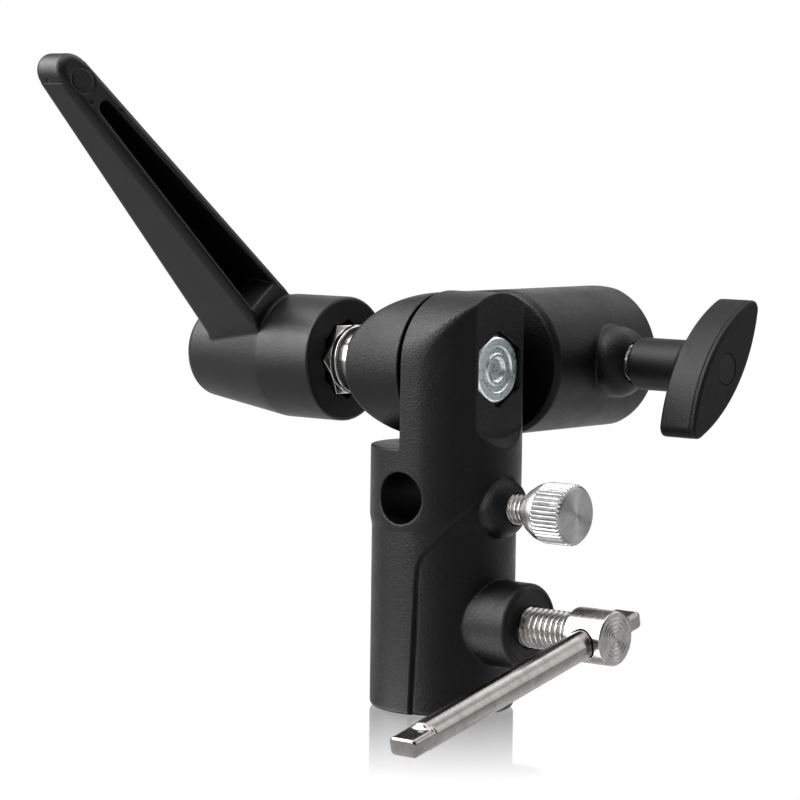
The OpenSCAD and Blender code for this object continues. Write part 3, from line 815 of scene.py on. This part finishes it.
PIECES = [
    # name, field, cell size in mm, material, CAD node, slot
    ("stand_socket_casting", stand_socket_field, 0.3, COAT, "stand_socket_body", "black_casting"),
    ("head_casting", head_field, 0.3, COAT, "head_body", "black_casting"),
    ("bolt", bolt_field, 0.16, ZINC, "tilt_bolt", "zinc_steel"),
    ("nut", nut_field, 0.14, NICKEL, "clamp_nut", "bright_nickel"),
    ("spacer", spacer_field, 0.2, NICKEL, "clamp_spacer", "bright_nickel"),
    ("washer", washer_field, 0.2, ZINC, "clamp_washer", "zinc_steel"),
    ("lever", lever_field, 0.32, LEVER_PLASTIC, "lever_handle", "lever_plastic"),
    ("lever_screw", lever_screw_field, 0.22, BLACK_OXIDE, "lever_retaining_screw", "black_steel"),
    ("thumb_screw", thumb_screw_field, 0.12, STEEL, "umbrella_screw", "turned_steel"),
    ("thumb_knob", thumb_knob_field, 0.13, ALLOY, "umbrella_knob", "knurled_alloy"),
    ("t_screw", stand_screw_field, 0.14, T_STEEL, "stand_screw", "turned_steel"),
    ("t_bar", tommy_bar_field, 0.2, CHROME, "tommy_bar", "bright_chrome"),
    ("wing_knob", wing_field, 0.25, KNOB_PLASTIC, "head_knob_wing", "knob_plastic"),
    ("wing_cap", cap_field, 0.1, KNOB_PLASTIC, "head_knob_cap", "knob_plastic"),
    ("wing_stud", stud_field, 0.15, STEEL, "head_knob_stud", "turned_steel"),
]
for row in PIECES:
    piece(*row)

CAD_PIECES = {
    "friction_washer": FIBRE, "lever_screw_washer": ZINC,
    "umbrella_screw_tip": BRASS, "stand_screw_pad": BRASS, "head_screw_pad": BRASS,
}
for node_name, finish in CAD_PIECES.items():
    for material_slot in frame["nodes"][node_name].material_slots:
        material_slot.material = finish


def return_spring():
    """A copy of the CAD spring with its own mesh and the spring wire finish, riding on the CAD node's body in
    place of that node.
    """
    node = frame["nodes"]["lever_spring"]
    obj = bpy.data.objects.new("return_spring", node.data.copy())
    obj.matrix_world = node.matrix_world.copy()
    bpy.context.scene.collection.objects.link(obj)
    obj.data.materials.clear()
    obj.data.materials.append(SPRING)
    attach(obj, node["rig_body"])
    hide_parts("lever_spring")
    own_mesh(obj)


return_spring()


# ---------- Camera, in metres ----------

AZIMUTH, ELEVATION, ROLL = math.radians(39.58), math.radians(4.74), math.radians(0.78)
DISTANCE = 0.60906
AIM_SIDE, AIM_HEIGHT = -0.00934, 0.06091
LENS, SENSOR = 138.33, 36  # mm

back = Vector((math.sin(AZIMUTH) * math.cos(ELEVATION), -math.cos(AZIMUTH) * math.cos(ELEVATION),
               math.sin(ELEVATION)))
level = Vector((math.cos(AZIMUTH), math.sin(AZIMUTH), 0))


def add_camera():
    above = back.cross(level)
    right = level * math.cos(ROLL) + above * math.sin(ROLL)
    top = above * math.cos(ROLL) - level * math.sin(ROLL)
    place = level * AIM_SIDE + Vector((0, 0, AIM_HEIGHT)) + back * DISTANCE
    camera = bpy.data.objects.new("camera", bpy.data.cameras.new("camera"))
    camera.data.lens = LENS
    camera.data.sensor_width = SENSOR
    camera.data.clip_start = 0.01
    camera.matrix_world = Matrix.Translation(place) @ Matrix((right, top, back)).transposed().to_4x4()
    bpy.context.scene.collection.objects.link(camera)
    bpy.context.scene.camera = camera


add_camera()


# ---------- Light ----------

AMBIENT = 0.12
BOXES = [
    # azimuth, elevation, half angle inside and outside its soft edge, strength
    (180, 4, 13, 26, 0.9),  # white background
    (-72, 20, 14, 34, 7.4),  # main box, low on the left
    (-95, 46, 12, 28, 9.0),  # its upper part
    (-125, 34, 12, 28, 1.6),
    (104, 22, 10, 25, 1.8),  # weaker box on the right
    (72, 40, 12, 28, 0.4),
    (130, 44, 10, 24, 1.8),
    (155, 46, 9, 24, 1.5),
    (-170, 48, 9, 24, 0.9),
    (0, 88, 12, 30, 3.4),  # overhead
]


def add_world():
    """A dim studio tent with soft boxes in it. Each is a bright patch of the surroundings.

    Azimuth 0 is behind the camera, 90 is to the right of the view and 180 is behind the object.
    """
    world = bpy.data.worlds.new("studio")
    bpy.context.scene.world = world
    world.use_nodes = True
    tree = world.node_tree
    direction = tree.nodes.new("ShaderNodeTexCoord").outputs["Generated"]
    flat_back = Vector((back.x, back.y, 0)).normalized()
    total = None
    for azimuth, elevation, inner, outer, strength in BOXES:
        a, e = math.radians(azimuth), math.radians(elevation)
        toward = (flat_back * math.cos(a) + level * math.sin(a)) * math.cos(e) + Vector((0, 0, math.sin(e)))
        facing = tree.nodes.new("ShaderNodeVectorMath")
        facing.operation = "DOT_PRODUCT"
        facing.inputs[1].default_value = toward
        tree.links.new(direction, facing.inputs[0])
        patch = tree.nodes.new("ShaderNodeMapRange")
        patch.interpolation_type = "SMOOTHSTEP"
        set_map_range(patch, math.cos(math.radians(outer)), math.cos(math.radians(inner)), 0.0, strength)
        tree.links.new(facing.outputs["Value"], patch.inputs["Value"])
        add = tree.nodes.new("ShaderNodeMath")
        add.inputs[0].default_value = AMBIENT
        if total is not None:
            tree.links.new(total, add.inputs[0])
        tree.links.new(patch.outputs["Result"], add.inputs[1])
        total = add.outputs[0]
    tree.links.new(total, tree.nodes["Background"].inputs["Strength"])
    tree.nodes["Background"].inputs["Color"].default_value = (1, 1, 1, 1)


add_world()


# ---------- Floor, in metres ----------

FLOOR_HALF = 6.0
FLOOR_DROP = 0.0001  # below the column's foot
MIRROR_NEAR, MIRROR_FAR, MIRROR_SHARE = 0.016, 0.072, 0.6  # the reflection fades between these distances


def add_floor():
    """A white gloss floor that glows evenly, so that only a short reflection shows."""
    mesh = bpy.data.meshes.new("floor")
    corners = [(-FLOOR_HALF, -FLOOR_HALF, 0), (FLOOR_HALF, -FLOOR_HALF, 0),
               (FLOOR_HALF, FLOOR_HALF, 0), (-FLOOR_HALF, FLOOR_HALF, 0)]
    mesh.from_pydata(corners, [], [(0, 1, 2, 3)])
    obj = bpy.data.objects.new("floor", mesh)
    obj.location = (0, 0, -FLOOR_DROP)
    bpy.context.scene.collection.objects.link(obj)
    material = bpy.data.materials.new("white_gloss_floor")
    material.use_nodes = True
    tree = material.node_tree
    tree.nodes.remove(tree.nodes["Principled BSDF"])
    glow = tree.nodes.new("ShaderNodeEmission")
    gloss = tree.nodes.new("ShaderNodeBsdfGlossy")
    gloss.inputs["Roughness"].default_value = 0.05
    gloss.inputs["Color"].default_value = (1, 1, 1, 1)
    length = tree.nodes.new("ShaderNodeVectorMath")
    length.operation = "LENGTH"
    tree.links.new(tree.nodes.new("ShaderNodeTexCoord").outputs["Object"], length.inputs[0])
    fade = tree.nodes.new("ShaderNodeMapRange")
    set_map_range(fade, MIRROR_NEAR, MIRROR_FAR, MIRROR_SHARE, 0.0)
    tree.links.new(length.outputs["Value"], fade.inputs["Value"])
    mix = tree.nodes.new("ShaderNodeMixShader")
    tree.links.new(fade.outputs["Result"], mix.inputs[0])
    tree.links.new(glow.outputs[0], mix.inputs[1])
    tree.links.new(gloss.outputs[0], mix.inputs[2])
    tree.links.new(mix.outputs[0], tree.nodes["Material Output"].inputs["Surface"])
    mesh.materials.append(material)


add_floor()
bpy.context.scene.view_settings.view_transform = "Standard"
bpy.context.scene.view_settings.gamma = 0.83  # a little more contrast, as studio photographs have
